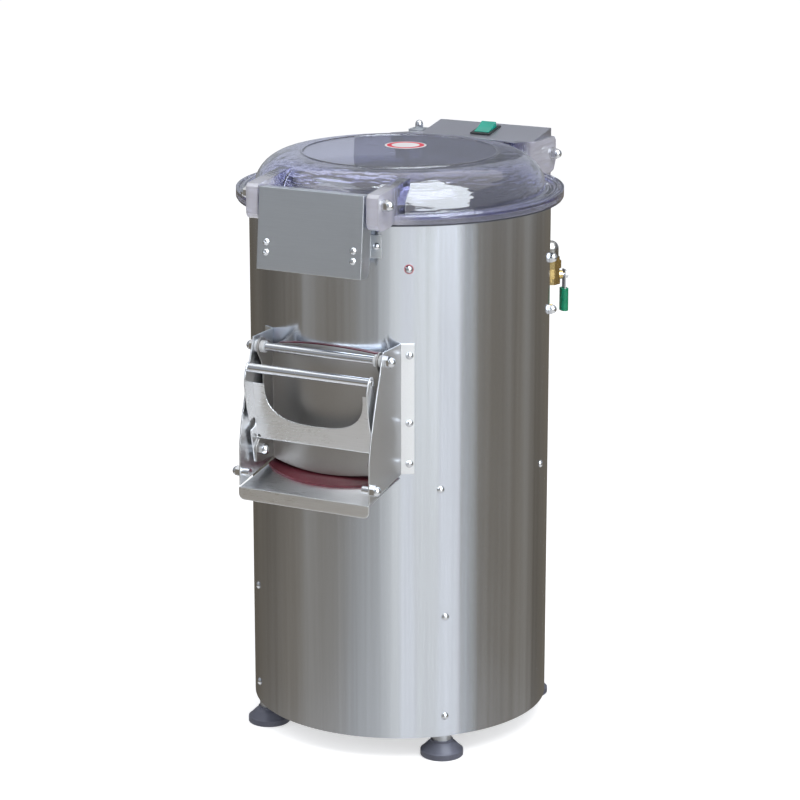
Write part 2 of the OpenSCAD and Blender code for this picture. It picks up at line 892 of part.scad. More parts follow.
// Soft crescent that bridges the door's lower edge and the tray
module tray_flap() {
    arc_r = 132;
    arc_y = 100 - drum_r;
    back = -drum_r + 60;
    front = arc_y - arc_r;
    color("firebrick")
        difference() {
            intersection() {
                from_side(-cheek_in + 2, 2 * (cheek_in - 2))
                    polygon([
                        [front, tray_z(front) + touch], [back, tray_z(back) + touch],
                        [back, tray_z(back) + flap_t], [front, tray_z(front) + flap_t]
                    ]);
                translate([0, arc_y, chute_z - 20]) cylinder(r = arc_r, h = 100);
            }
            translate([0, 0, chute_z - 50]) cylinder(r = drum_r + seat, h = 300);
        }
}

module door_seal() {
    top = window_z + window_h + seal_w;
    color("firebrick")
        difference() {
            intersection() {
                from_front(-door_front - 5, 60)
                    intersection() {
                        window_outline(seal_w);
                        translate([0, door_top + seal_show - door_arc]) circle(door_arc, $fn = 360);
                    }
                translate([0, door_cy, window_z - 40])
                    cylinder(r = door_r - sheet_t - seat, h = window_h + 90);
            }
            from_front(-door_front - 5, 60) window_outline(0.5);
            translate([0, 0, window_z - 40]) cylinder(r = drum_r + touch, h = window_h + 90);
            translate([0, door_cy, top - 2 * seal_w - 1])
                tube(door_r + 5, door_r - sheet_t - seat - seal_relief, 3 * seal_w);
        }
}

// ---- door ----

module door_outline() {
    low_arc = 480;
    intersection() {
        translate([-door_half, door_z - 1]) square([2 * door_half, door_h + 2]);
        translate([0, door_top - door_arc]) circle(door_arc, $fn = 360);
        translate([0, door_z + low_arc]) circle(low_arc, $fn = 360);
    }
}

// Outline of a side of the door: eye round the rod, hollow front, ear round the pivot
module door_side_outline() {
    back = door_side + sheet_t;
    translate(rod) circle(11.8);
    translate(pivot) circle(10);
    polygon([
        [back, door_top - 10], rod + [6, 10.2], rod + [-11, 4], rod + [-10.2, -6],
        rod + [-1, -20], rod + [3, -40], pivot + [10, 30], pivot + [-5, 8.7],
        pivot + [-10, 0], pivot + [-9.7, -15], pivot + [4, -18], [back, door_z + 8.5]
    ]);
}

module door_panel() {
    color("silver")
        difference() {
            union() {
                intersection() {
                    translate([0, door_cy, door_z - 10]) tube(door_r, door_r - sheet_t, door_h + 20);
                    from_front(-door_front - 5, 60) door_outline();
                }
                both_sides()
                    from_side(flange_in, sheet_t) door_side_outline();
            }
            along_x(rod, -across, across, bush_r - 0.8 + fit_gap);
            along_x(pivot, -across, across, thread_r + fit_gap);
        }
}

module door_bushes() {
    color("white")
        both_sides()
            difference() {
                union() {
                    along_x(rod, 80, flange_in - touch, bush_r);
                    along_x(rod, 80, cheek_in - seat, bush_r - 0.8);
                    along_x(rod, door_half + touch, cheek_in - seat, bush_r);
                }
                along_x(rod, 70, 110, rod_r + run);
            }
}

module door_rod() {
    color("silver") {
        along_x(rod, -cheek_in + touch, cheek_in - touch, rod_r);
        along_x(rod, -cheek_out - 7, cheek_out + 7, thread_r);
    }
}

// ---- handle ----

module arm_outline() {
    difference() {
        union() {
            translate(pivot) circle(10.5);
            polygon([
                bar + [6.5, 3], bar + [4, 6.5], bar + [0, 7.5], bar + [-4.5, 6],
                bar + [-8, 0], bar + [-11.5, -11], bar + [-12.2, -22],
                pivot + [-31, 79], pivot + [-26.5, 60], pivot + [-20.5, 41], pivot + [-17.5, 20],
                pivot + [-13.3, 3], pivot + [-9.7, -15], pivot + [3, -11], pivot + [10, 0],
                pivot + [7, 10], web_foot + [1.9, 2], web_head + [1.9, 0], web_head + [0.5, 14]
            ]);
        }
        translate(hook) circle(notch_r);
        translate(hook)
            rotate(270 - hook_rest)
                translate([0, -notch_r]) square([20, 2 * notch_r]);
        translate(web_foot + [3.5, -1]) circle(3);
    }
}

// Half of the web's cut-out, as a smooth curve from its lowest point to its top
function cut_point(t) = [
    cut_half * pow(sin(t), 2 / cut_power),
    web_h - (web_h - cut_low) * pow(cos(t), 2 / cut_power)
];

module web_outline() {
    steps = 16;
    half = [for (i = [0 : steps]) cut_point(90 * i / steps)];
    other = [for (i = [steps : -1 : 0]) [-half[i][0], half[i][1]]];
    difference() {
        translate([-web_half, 0]) square([2 * web_half, web_h]);
        polygon(concat(half, [[cut_half, web_h + 5], [-cut_half, web_h + 5]], other));
        for (s = [-1, 1]) translate([s * (arm_in - 3), 3]) circle(2.5);
    }
}

module handle_frame() {
    color("lightsteelblue")
        difference() {
            union() {
                both_sides() from_side(arm_in, sheet_t) arm_outline();
                translate([0, web_foot[0], web_foot[1]])
                    rotate([web_tilt, 0, 0]) from_front(0, sheet_t) web_outline();
            }
            along_x(pivot, -across, across, thread_r + run);
            along_x(bar, -110, 110, thread_r + fit_gap);
        }
}

module handle_bar() {
    color("silver") {
        along_x(bar, -arm_in + touch, arm_in - touch, bar_r);
        along_x(bar, -arm_out - 1, arm_out + 1, thread_r);
    }
}

module pivot_bolts() {
    head_x = arm_out + 0.2;
    color("silver")
        both_sides() {
            along_x(pivot, head_x, cheek_in - 0.7, 7);
            along_x(pivot, flange_in - 8, head_x + 1, thread_r);
        }
}

module pivot_nuts() {
    color("silver")
        both_sides() mirror([1, 0, 0]) acorn_on_x(pivot, -flange_in + touch);
}

module latch_studs() {
    color("silver")
        both_sides() {
            along_x(stud, 82.7, cheek_in - touch, stud_r);
            along_x(stud, 90, cheek_out + 7, thread_r);
        }
}

// ---- lid ----

// Half section of the dome's outer form, drawn in by inset, down to the height low
module dome_half(inset, low) {
    wide = dome_r - dome_flat_r - inset;
    high = dome_top - inset - dome_foot;
    difference() {
        union() {
            translate([dome_flat_r, dome_foot]) scale([wide / high, 1]) circle(high);
            translate([0, low]) square([dome_flat_r, dome_top - inset - low]);
            translate([0, low]) square([dome_flat_r + wide, dome_foot - low]);
        }
        translate([0, low - far]) square([far, far]);
    }
}

module lid_section() {
    difference() {
        union() {
            dome_half(0, rim_z);
            polygon([
                [dome_r - 2, rim_top - rim_roof], [lid_r - rim_band, rim_top - rim_roof],
                [lid_r - rim_band, rim_z], [lid_r, rim_z], [lid_r, rim_top], [lid_r - 4, rim_top],
                [lid_r - 4, rim_top - 2], [lid_r - 8, rim_top - 2], [lid_r - 8, rim_top],
                [lid_r - 12, rim_top], [lid_r - 12, rim_top - 2], [lid_r - 18, rim_top - 2],
                [dome_r + 2, dome_foot], [dome_r - 2, dome_foot]
            ]);
            translate([dome_flat_r - 12, dome_top - 1]) square([3, 2]);
        }
        dome_half(lid_t, rim_z - 1);
    }
}

// Ear seen from the side, at the front; towards +y it runs into the dome
module ear_outline(grow) {
    polygon([
        [-dome_r + 40, ear_roof + 3 - grow], [-latch_out - 9, ear_roof - 5 - grow],
        [-latch_out - 13 + grow, ear_roof - 9], [-latch_out - 13 + grow, rim_z + 6],
        [-latch_out - 10 + grow, rim_z + 1], [-latch_out - 5, rim_z - 2], [-latch_out + 16, rim_z - 2],
        [-latch_out + 24, rim_z + 1], [-dome_r + 40, rim_z + 1]
    ]);
}

module rear_ear_outline() {
    polygon([
        [dome_r - 40, ear_roof + 3], [hinge_out - 38, ear_roof - 6.5],
        [hinge_out + 9, ear_roof - 6.5], [hinge_out + 14, ear_roof - 12],
        [hinge_out + 14, rim_z + 8], [hinge_out + 8, rim_z - 4],
        [hinge_out - 2, rim_z - 7], [hinge_out - 20, rim_z - 7], [hinge_out - 34, rim_z + 1],
        [dome_r - 40, rim_z + 1]
    ]);
}

module ears() {
    difference() {
        from_side(ear_in, ear_w) ear_outline(0);
        from_side(ear_in + ear_wall, ear_w - 2 * ear_wall)
            intersection() {
                ear_outline(ear_wall);
                translate([-far, 0]) square([far - lid_r + 3, 2 * far]);
            }
    }
    from_side(box_half + 1, ear_out - box_half - 1) rear_ear_outline();
    from_side(ear_in, ear_w)
        intersection() {
            rear_ear_outline();
            square([hinge_out - box_clear, 2 * far]);
        }
}

module lid_dome() {
    color("lavender", 0.5)
        difference() {
            union() {
                rotate_extrude() lid_section();
                difference() {
                    both_sides() ears();
                    rotate_extrude() dome_half(lid_t / 2, rim_z - 20);
                    translate([0, 0, rim_z - 20])
                        tube(lid_r - rim_band, dome_r - 1, 20 + lid_rim_h - rim_roof);
                }
            }
            along_x(latch_pin_at, -across, across, pin_r + fit_gap);
            along_x(hinge_at, -across, across, pin_r + run);
        }
}

module lid_gasket() {
    color("darkslategray")
        rotate_extrude()
            polygon([
                [dome_r + 2, gasket_z], [lid_r - 1.5, gasket_z], [lid_r - 1.5, rim_z - touch / 2],
                [lid_r - rim_band - seat, rim_z - touch / 2],
                [lid_r - rim_band - seat, rim_top - rim_roof - touch],
                [dome_r + seat, rim_top - rim_roof - touch], [dome_r + seat, gasket_z + 1]
            ]);
}

// ---- latch, drawn hanging straight and then tilted out about its pin ----

module tilted() {
    translate([0, latch_pin_at[0], latch_pin_at[1]])
        rotate([-latch_tilt, 0, 0])
            translate([0, -latch_pin_at[0], -latch_pin_at[1]]) children();
}

module latch_plate() {
    side_r = 8;
    color("lightsteelblue")
        tilted()
            difference() {
                union() {
                    from_front(plate_y, sheet_t)
                        translate([-latch_half, plate_low])
                            square([2 * latch_half, plate_high - plate_low]);
                    both_sides()
                        from_side(latch_half - sheet_t, sheet_t)
                            difference() {
                                translate([plate_y, plate_low])
                                    square([latch_deep, plate_high - plate_low]);
                                translate([plate_y + latch_deep - side_r, plate_low])
                                    difference() {
                                        translate([0, -1]) square(side_r + 1);
                                        translate([0, side_r]) circle(side_r);
                                    }
                            }
                    translate([-latch_half, plate_y, plate_high - sheet_t])
                        cube([2 * latch_half, latch_deep, sheet_t]);
                }
                along_x(latch_pin_at, -across, across, pin_r + run);
                for (s = [-1, 1], z = latch_screw_z)
                    translate([s * latch_screw_x, plate_y - 5, z])
                        rotate([-90, 0, 0]) cylinder(r = screw_hole, h = 12);
            }
}

module latch_hooks() {
    inner = plate_y + sheet_t;
    color("gray")
        tilted()
            both_sides()
                difference() {
                    union() {
                        from_front(inner, 2)
                            translate([latch_screw_x - 3, hook_z])
                                square([9, latch_pin_at[1] - 52 - hook_z]);
                        translate([latch_screw_x - 3, inner, hook_z])
                            cube([9, 16.6, 2]);
                    }
                    for (z = latch_screw_z)
                        translate([latch_screw_x, plate_y - 5, z])
                            rotate([-90, 0, 0]) cylinder(r = screw_hole, h = 22);
                }
}

module latch_screws() {
    color("silver")
        tilted()
            both_sides()
                for (z = latch_screw_z)
                    translate([latch_screw_x, plate_y, z])
                        rotate([90, 0, 0]) {
                            difference() {
                                dome_head(4.8, 3);
                                for (turn = [20, 110])
                                    rotate([0, 0, turn]) translate([-2.4, -0.5, 1.7]) cube([4.8, 1, 3]);
                            }
                            translate([0, 0, -7]) cylinder(r = screw_r, h = 8);
                            translate([0, 0, -7.5]) cylinder(r = 4.3, h = 3.9, $fn = 6);
                        }
}

module latch_pin() {
    color("silver") along_x(latch_pin_at, -ear_out - 9, ear_out + 9, pin_r);
}

module lid_nuts() {
    color("silver") {
        both_sides() {
            acorn_on_x(latch_pin_at, ear_out + washer_t);
            difference() {
                along_x(latch_pin_at, ear_out, ear_out + washer_t, 7.5);
                along_x(latch_pin_at, ear_out - 1, ear_out + 5, pin_r + fit_gap);
            }
        }
        magnet_at() translate([0, 0, 1.5]) acorn(11, 5, 3 + fit_gap, 5);
    }
}

keeper_x = 58;
keeper_z = drum_top - 43.2;
keeper_h = 30;
keeper_w = 14;
keeper_angle = asin((keeper_x + 8) / drum_r);
keeper_screw_z = keeper_z + keeper_h / 2;

module latch_keepers() {
    lip_back = lip_y + sheet_t;
    color("lightgray")
        both_sides()
            difference() {
                union() {
                    ring_part(
                        drum_r + touch + sheet_t, drum_r + touch, keeper_z, keeper_h,
                        asin(keeper_x / drum_r), asin((keeper_x + keeper_w) / drum_r)
                    );
                    translate([keeper_x, lip_y, keeper_z])
                        cube([sheet_t, latch_out - drum_r + 25, keeper_h]);
                    translate([keeper_x, lip_y, keeper_z])
                        cube([keeper_w - 2, sheet_t, keeper_h]);
                }
                translate([0, 0, keeper_z - 5]) cylinder(r = drum_r + touch, h = keeper_h + 10);
                on_drum(keeper_angle, keeper_screw_z) screw_hole();
                translate([keeper_x - 1, lip_back + 60, keeper_z - 1]) cube([10, 60, keeper_h + 2]);
            }
}

// ---- control box ----

function box_top(y) = rim_z + box_rise - box_slope * (box_rear - y);

module box_solid(inset) {
    front = box_front + inset;
    rear = box_rear - (inset > 0 ? -5 : 0);
    from_side(-box_half + inset, 2 * (box_half - inset))
        polygon([
            [front, box_step - inset], [front, box_top(front) - inset],
            [rear, box_top(rear) - inset], [rear, box_low + inset],
            [drum_r - 60, box_low + inset], [drum_r - 60, box_step - inset]
        ]);
}

module on_box_top() {
    translate([0, switch_y, box_top(switch_y)])
        rotate([atan(box_slope), 0, 0]) children();
}

module control_box() {
    color("lightsteelblue")
        difference() {
            box_solid(0);
            box_solid(box_t);
            translate([0, 0, box_low - 10]) cylinder(r = drum_r + touch, h = box_drop + 20);
            along_x(hinge_at, -across, across, pin_r + fit_gap);
            on_box_top()
                translate([-switch_w / 2 + 1.8, -switch_l / 2 + 3, -6])
                    cube([switch_w - 3.6, switch_l - 6, 10]);
            translate([gland_x, (box_rear + drum_r) / 2 + 6, box_low - 5]) cylinder(r = 8 + touch, h = 12);
        }
}

cover_screw_z = [box_low + 12, rim_z + 30];

module control_box_cover() {
    color("lightsteelblue")
        from_front(box_rear, box_t)
            translate([-box_half, box_low])
                square([2 * box_half, box_top(box_rear) - box_low]);
}

module contactor() {
    deep = box_rear - 34;
    color("ivory") {
        translate([-22, deep, box_low + 50]) cube([44, 34 - touch, 60]);
        translate([-18, deep - 8, box_low + 58]) cube([36, 9, 44]);
    }
}

module interlock_switch() {
    color("black")
        translate([-box_half + box_t + touch, box_front + 20, rim_z + 30]) cube([12, 26, 10]);
}

module hinge_pin() {
    color("silver") along_x(hinge_at, -ear_out - 9, ear_out + 9, pin_r);
}

module switch_bezel() {
    color("black")
        on_box_top()
            difference() {
                union() {
                    translate([-switch_w / 2, -switch_l / 2, touch]) cube([switch_w, switch_l, 2]);
                    translate([-switch_w / 2 + 2, -switch_l / 2 + 3.2, -22])
                        cube([switch_w - 4, switch_l - 6.4, 22 + touch + 1]);
                }
                translate([-rocker_w / 2 - seat, -rocker_l / 2 - 1, -14])
                    cube([rocker_w + 2 * seat, rocker_l + 2, 30]);
                along_x([0, 0], -rocker_w / 2 - 1.4, rocker_w / 2 + 1.4, rocker_pin_r + run);
            }
}

module switch_rocker() {
    color("green")
        on_box_top() {
            along_x([0, 0], -rocker_w / 2 - 1.2, rocker_w / 2 + 1.2, rocker_pin_r);
            translate([-rocker_w / 2, 0, 0])
                rotate([90, 0, 90])
                    linear_extrude(rocker_w)
                        polygon([
                            [-rocker_l / 2, 2.6], [-1, 5], [rocker_l / 2 - 1.4, 9.5],
                            [rocker_l / 2 - 0.4, 0], [3, -6], [-3, -6], [-rocker_l / 2 + 0.6, -1]
                        ]);
        }
}

module magnet_at() {
    translate([-ear_out - 7.5, hinge_out - 19, ear_roof - 6.2]) children();
}

// Interlock plate: lies on the left rear ear, with the magnet under its outer end
module magnet_plate() {
    color("silver") {
        magnet_at() {
            difference() {
                translate([-7.5, -18, -0.2]) cube([21.5, 23, 1.5]);
                translate([0, 0, -5]) cylinder(r = 3.2, h = 10);
            }
            difference() {
                translate([-7.5, -18, -14]) cube([13.8, 23, 13.9]);
                translate([0, 0, -8]) cylinder(r = 3 + touch, h = 20);
            }
            translate([0, 0, -7.9]) cylinder(r = 3, h = 14);
        }
    }
}

// ---- water inlet, drawn along the line that leaves the drum at the inlet's angle ----

module at_inlet() {
    rotate([0, 0, inlet_angle]) translate([0, -drum_r - inlet_out, 0]) children();
}

module water_elbow() {
    pipe = elbow_r - 2;
    color("gray")
        difference() {
            union() {
                on_drum(inlet_angle, inlet_z)
                    translate([0, 0, -22]) cylinder(r = pipe, h = 22 + inlet_out);
                on_drum(inlet_angle, inlet_z)
                    translate([0, 0, 1.2]) cylinder(r = elbow_r, h = inlet_out - 1.2);
                at_inlet() translate([0, 0, inlet_z]) sphere(elbow_r);
                at_inlet() translate([0, 0, elbow_low]) cylinder(r = elbow_r, h = 11);
                at_inlet() translate([0, 0, union_high - 4]) cylinder(r = pipe, h = 10);
            }
            at_inlet() translate([0, 0, union_low - 20]) cylinder(r = water_r, h = inlet_z - union_low + 20);
            at_inlet() translate([0, 0, inlet_z]) sphere(water_r);
            on_drum(inlet_angle, inlet_z) translate([0, 0, -30]) cylinder(r = water_r, h = 30 + inlet_out);
        }
}

module inlet_locknut() {
    color("silver")
        on_drum(inlet_angle, inlet_z)
            translate([0, 0, -drum_wall - 6.5])
                difference() {
                    cylinder(r = 14, h = 5.8, $fn = 6);
                    translate([0, 0, -1]) cylinder(r = elbow_r - 2 + fit_gap, h = 10);
                }
}

module union_nut() {
    color("silver")
        at_inlet()
            translate([0, 0, union_low])
                difference() {
                    union() {
                        cylinder(r = 14.5, h = 11, $fn = 6);
                        cylinder(r = 12.2, h = union_high - union_low);
                    }
                    translate([0, 0, -1]) cylinder(r = elbow_r - 2 + fit_gap, h = 30);
                }
}

module valve_body() {
    thread = 6;
    color("goldenrod")
        at_inlet()
            difference() {
                union() {
                    translate([0, 0, valve_low]) cylinder(r = 13.2, h = 9, $fn = 6);
                    translate([0, 0, valve_low + 4]) cylinder(r = valve_r, h = union_low - valve_low - 4.1);
                    translate([0, 0, union_low - 2]) cylinder(r = elbow_r - 2 - touch, h = 10);
                    translate([0, 0, stem_z]) rotate([90, 0, 0]) cylinder(r = 6, h = 16);
                }
                translate([0, 0, valve_low - 1]) cylinder(r = inlet_r, h = thread + 1);
                translate([0, 0, valve_low]) cylinder(r = ball_hole, h = 40);
                translate([0, 0, stem_z + ball_r - 1]) cylinder(r = water_r - 0.5, h = 40);
                translate([0, 0, stem_z]) sphere(ball_r + run);
                translate([0, 0, stem_z]) rotate([90, 0, 0]) cylinder(r = stem_r + run, h = 30);
            }
}

module valve_ball() {
    color("silver")
        at_inlet() {
            difference() {
                translate([0, 0, stem_z]) sphere(ball_r);
                translate([0, 0, stem_z - 20]) cylinder(r = ball_hole, h = 40);
            }
            translate([0, -ball_r + 2, stem_z])
                rotate([90, 0, 0]) cylinder(r = stem_r, h = lever_y - ball_r + 3);
        }
}

module valve_lever() {
    color("silver")
        at_inlet() {
            difference() {
                translate([-5, -lever_y + 2, stem_z - 10]) cube([10, 2, 17]);
                translate([0, 0, stem_z]) rotate([90, 0, 0]) cylinder(r = stem_r + fit_gap, h = 60);
            }
            translate([-5, -lever_y + 2, stem_z - 42]) cube([10, 2, 33]);
            translate([0, -lever_y + 2, stem_z])
                rotate([90, 0, 0])
                    difference() {
                        cylinder(r = 5.5, h = 3.5, $fn = 6);
                        translate([0, 0, -1]) cylinder(r = stem_r + fit_gap, h = 6);
                    }
        }
}

module lever_sleeve() {
    wall = sleeve_d / 2;
    color("green")
        at_inlet()
            translate([0, -lever_y + 3, stem_z - 50])
                difference() {
                    union() {
                        translate([-3, -wall, 0]) cube([6, sleeve_d, 31]);
                        for (x = [-3, 3]) translate([x, 0, 0]) cylinder(r = wall, h = 31);
                    }
                    translate([-5 - fit_gap, -1 - fit_gap, 7.9])
                        cube([10 + 2 * fit_gap, 2 + 2 * fit_gap, 40]);
                }
}

drum_shell();
base_ring();
foot_pads();
foot_collars();
housing_screws();
acorn_nuts();
chamber_floor();
abrasive_liner();
liner_washers();
abrasive_disc();
disc_nut();
drive_shaft();
bearing_housing();
shaft_bearings();
shaft_seal();
driven_pulley();
motor_plate();
motor();
motor_pulley();
drive_belt();
waste_outlet();
cable_gland();
chute_cheek_left();
chute_cheek_right();
chute_tray();
tray_flap();
door_seal();
door_panel();
door_bushes();
door_rod();
handle_frame();
handle_bar();
pivot_bolts();
pivot_nuts();
latch_studs();
lid_dome();
lid_gasket();
latch_plate();
latch_hooks();
latch_screws();
latch_pin();
lid_nuts();
latch_keepers();
control_box();
control_box_cover();
contactor();
interlock_switch();
switch_bezel();
switch_rocker();
hinge_pin();
magnet_plate();
water_elbow();
inlet_locknut();
union_nut();
valve_body();
valve_ball();
valve_lever();
lever_sleeve();
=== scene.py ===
"""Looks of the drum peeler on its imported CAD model: finishes, the lid's sticker, set, camera."""

import math

import bmesh
import bpy
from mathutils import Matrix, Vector


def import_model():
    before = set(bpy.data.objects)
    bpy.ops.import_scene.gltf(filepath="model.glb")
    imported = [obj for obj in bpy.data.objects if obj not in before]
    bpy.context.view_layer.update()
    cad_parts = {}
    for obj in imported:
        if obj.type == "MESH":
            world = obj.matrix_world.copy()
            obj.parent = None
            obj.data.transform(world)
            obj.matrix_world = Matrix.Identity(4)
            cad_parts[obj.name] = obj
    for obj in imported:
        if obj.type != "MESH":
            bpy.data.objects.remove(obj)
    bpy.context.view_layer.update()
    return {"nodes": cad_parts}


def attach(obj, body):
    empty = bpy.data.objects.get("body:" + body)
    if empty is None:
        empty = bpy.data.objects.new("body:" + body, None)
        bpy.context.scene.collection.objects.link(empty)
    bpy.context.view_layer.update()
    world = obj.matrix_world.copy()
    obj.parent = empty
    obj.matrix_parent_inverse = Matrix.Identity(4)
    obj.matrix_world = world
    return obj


# Lengths are in metres and angles in degrees, unless a comment says otherwise

# Camera, at the photograph's viewing angle, with its lens in millimetres
CAMERA_PLACE = (1.7113, -3.2512, 1.406)
CAMERA_DOWN = 14.748
CAMERA_TURN = 27.76
CAMERA_LENS = 126.63

# Colours, linear
STEEL = (0.575, 0.608, 0.67)
SHEET = (0.60, 0.625, 0.655)
# The door's sheet steel, warm tinted and darkened below the other sheets as painted shade
SHADED_WARM_SHEET = (0.39, 0.375, 0.36)
# A brightened copy of the sheet steel for the chute tray and handle frame: painted sheen
SHEEN_LIT_SHEET = (0.78, 0.79, 0.81)
CHEEK_SHEET = (0.72, 0.73, 0.75)
BOX_SHEET = (0.46, 0.46, 0.51)
BRIGHT = (0.61, 0.62, 0.64)
ZINC = (0.42, 0.43, 0.45)
RUBBER = (0.11, 0.115, 0.15)
BELT = (0.012, 0.012, 0.013)
GASKET = (0.045, 0.047, 0.06)
ABRASIVE = (0.055, 0.052, 0.05)
CAST = (0.20, 0.21, 0.22)
PAINT = (0.03, 0.09, 0.18)
SILICONE = (0.13, 0.022, 0.033)
WASHER = (0.55, 0.16, 0.18)
LID = (0.86, 0.88, 1.0)
LID_EAR = (0.95, 0.94, 1.0)
LID_SMOKE = (0.42, 0.44, 0.74)
NYLON = (0.80, 0.81, 0.82)
BLACK = (0.012, 0.014, 0.015)
GREEN = (0.01, 0.36, 0.27)
SLEEVE = (0.003, 0.25, 0.12)
BRASS = (0.62, 0.46, 0.20)
FITTING = (0.34, 0.335, 0.33)
STICKER_WHITE = (0.88, 0.86, 0.87)
STICKER_RED = (0.70, 0.02, 0.06)
FLOOR_DARK, FLOOR_PALE = (0.88, 0.88, 0.88), (0.9, 0.9, 0.9)
WHITE = (1, 1, 1)
WORLD_GREY = (0.52, 0.53, 0.55)

# The drum's brushing: how strongly it draws reflections out, and its turn, a quarter
BRUSH_PULL = 0.72
BRUSH_TURN = 0.25

# The lid. Each part's look sets in between two distances from the drum's axis, taken front to
# back for the ears and all round for the others.
LID_OUTSIDE = 0.217
LID_SHOULDER = (0.13, 0.165)
LID_EARS = (0.178, 0.205)
LID_RIM = (0.19, 0.195)
LID_CLEAR, LID_EAR_CLEAR = 0.96, 0.5
LID_RIPPLE = (13, 13, 70)
LID_TOP_RIPPLED = 0.05
LID_RINGS = 35
LID_RING_RELIEF = 0.09
LID_RELIEF = 0.0027
LID_EDGE = 0.0018
LID_ABSORPTION = 70

# The sticker on the lid
STICKER_PLACE = (-0.0138, 0.0423, 0.779)
STICKER_RADIUS = 0.028
STICKER_THICK = 0.0003
STICKER_RING = (0.019, 0.025)

# The studio round the object, seen only in reflections. A flag's arc runs from one horizontal
# direction to another, angles from the front towards the right, and outside the arcs the white
# background shows. The flags' light is given by direction too, as it shows low on the drum and
# high on it. These lights were typed from readings of the photograph's brightness across
# the drum, so they follow it closely. The levels, where one light turns to the next, are shares
# of FLAG_RADIUS.
FLAG_RADIUS = 4.0
FLAG_HEIGHT = 4.0
FLAG_ARCS = [(73, 388), (40, 56)]
FLAG_WARM = (1.14, 1.0, 0.80)
FLAG_COOL = (1.0, 1.0, 0.96)
FLAG_WARM_TO = 0.22
FLAG_LEVEL_HIGH = (-0.3, -0.075)
FLAG_LEVEL_CEILING = (-0.02, 0.20)
FLAG_LEVEL_FLOOR = (-0.56, -0.38)
FLAG_LIGHT_LOW = [
    (-180, 0.15), (-129, 0.11), (-110, 0.15), (-84, 0.175), (-70, 0.22), (-56, 0.225),
    (-50, 0.30), (-31, 0.31), (-22, 0.33), (-14, 0.385), (-8, 0.43), (-1, 0.52), (6, 0.56),
    (12, 0.61), (16, 0.68), (20, 0.74), (22, 0.90), (28, 0.93), (60, 0.93), (72, 0.90), (74, 0.56),
    (79, 0.52), (84, 0.43), (90, 0.26), (96, 0.22), (128, 0.225), (136, 0.26), (141, 0.275),
    (149, 0.18), (159, 0.14), (180, 0.15),
]
FLAG_LIGHT_HIGH = [
    (-180, 0.15), (-129, 0.11), (-110, 0.15), (-92, 0.125), (-80, 0.15), (-58, 0.20), (-51, 0.22),
    (-49, 0.36), (-43, 0.33), (-34, 0.26), (-30, 0.215), (-20, 0.22), (-8, 0.29), (-4, 0.32),
    (-2, 0.38), (10, 0.40), (12, 0.46), (15, 0.68), (20, 0.74), (21.5, 1.0), (28, 1.05),
    (72, 1.05), (74, 0.60), (82, 0.56), (88, 0.28), (100, 0.225), (112, 0.20), (118, 0.29),
    (122, 0.20), (132, 0.22), (139, 0.32), (150, 0.165),
]
CEILING = (0.41, 0.435, 0.475)
FLOOR_GLOW = (0.92, 0.93, 0.95)

# Cards in the set, also seen only in reflections: name, angle, rise, distance, width, height,
# light, and light in a reflection of a reflection
CARD_COLOUR = (0.88, 0.94, 1.0)
CARDS = [
    ("set_softbox", 60, 46, 3.0, 2.8, 6.0, 7.6, 4.0),
    ("set_left_card", -60, 62, 3.0, 2.0, 0.8, 2.2, 2.2),
    ("set_top_card", 5, 45, 3.0, 3.0, 2.2, 0.5, 6.5),
    ("set_back_flag", 202.7, 12, 3.5, 0.84, 1.0, 0.19, 0.19),
]

# Lamps, never seen in reflections: name, angle, rise, distance, size, power in watts
LAMPS = [("key", 60, 50, 3.0, 1.6, 36), ("fill", -60, 45, 3.0, 1.8, 16)]
AIM_HEIGHT = 0.6
FLOOR_HALF = 30
FLOOR_LIGHT = 0.55


# ---- node helpers ----


def new_material(name):
    """A material with a Principled shader; returns it, its nodes, its links and the shader."""
    material = bpy.data.materials.new(name)
    material.use_nodes = True
    tree = material.node_tree
    return material, tree.nodes, tree.links, tree.nodes["Principled BSDF"]


def object_coords(nodes, links, scale):
    coords = nodes.new("ShaderNodeTexCoord")
    mapping = nodes.new("ShaderNodeMapping")
    mapping.inputs["Scale"].default_value = scale
    links.new(coords.outputs["Object"], mapping.inputs["Vector"])
    return mapping.outputs["Vector"]


def noise(nodes, links, scale, detail=4.0, rough=0.6):
    """Noise over object coordinates that are stretched by scale, in waves per metre."""
    texture = nodes.new("ShaderNodeTexNoise")
    texture.inputs["Scale"].default_value = 1.0
    texture.inputs["Detail"].default_value = detail
    texture.inputs["Roughness"].default_value = rough
    links.new(object_coords(nodes, links, scale), texture.inputs["Vector"])
    return texture.outputs["Fac"]


def span(nodes, links, value, low, high, start=0.3, end=0.7):
    """value from start..end spread over low..high."""
    ranged = nodes.new("ShaderNodeMapRange")
    ranged.inputs["From Min"].default_value = start
    ranged.inputs["From Max"].default_value = end
    ranged.inputs["To Min"].default_value = low
    ranged.inputs["To Max"].default_value = high
    links.new(value, ranged.inputs["Value"])
    return ranged.outputs["Result"]


def mixed(nodes, links, factor, first, second):
    """A mix of two colours, each given as a tuple or as a node's output."""
    mix = nodes.new("ShaderNodeMix")
    mix.data_type = "RGBA"
    for side, colour in (("A", first), ("B", second)):
        if isinstance(colour, tuple):
            mix.inputs[side].default_value = (*colour, 1)
        else:
            links.new(colour, mix.inputs[side])
    links.new(factor, mix.inputs["Factor"])
    return mix.outputs["Result"]


def computed(nodes, links, operation, *values):
    """The result of a Math node on other nodes' outputs."""
    step = nodes.new("ShaderNodeMath")
    step.operation = operation
    for value, socket in zip(values, step.inputs):
        links.new(value, socket)
    return step.outputs["Value"]


def shade(colour, share):
    return tuple(min(c * share, 1.0) for c in colour)


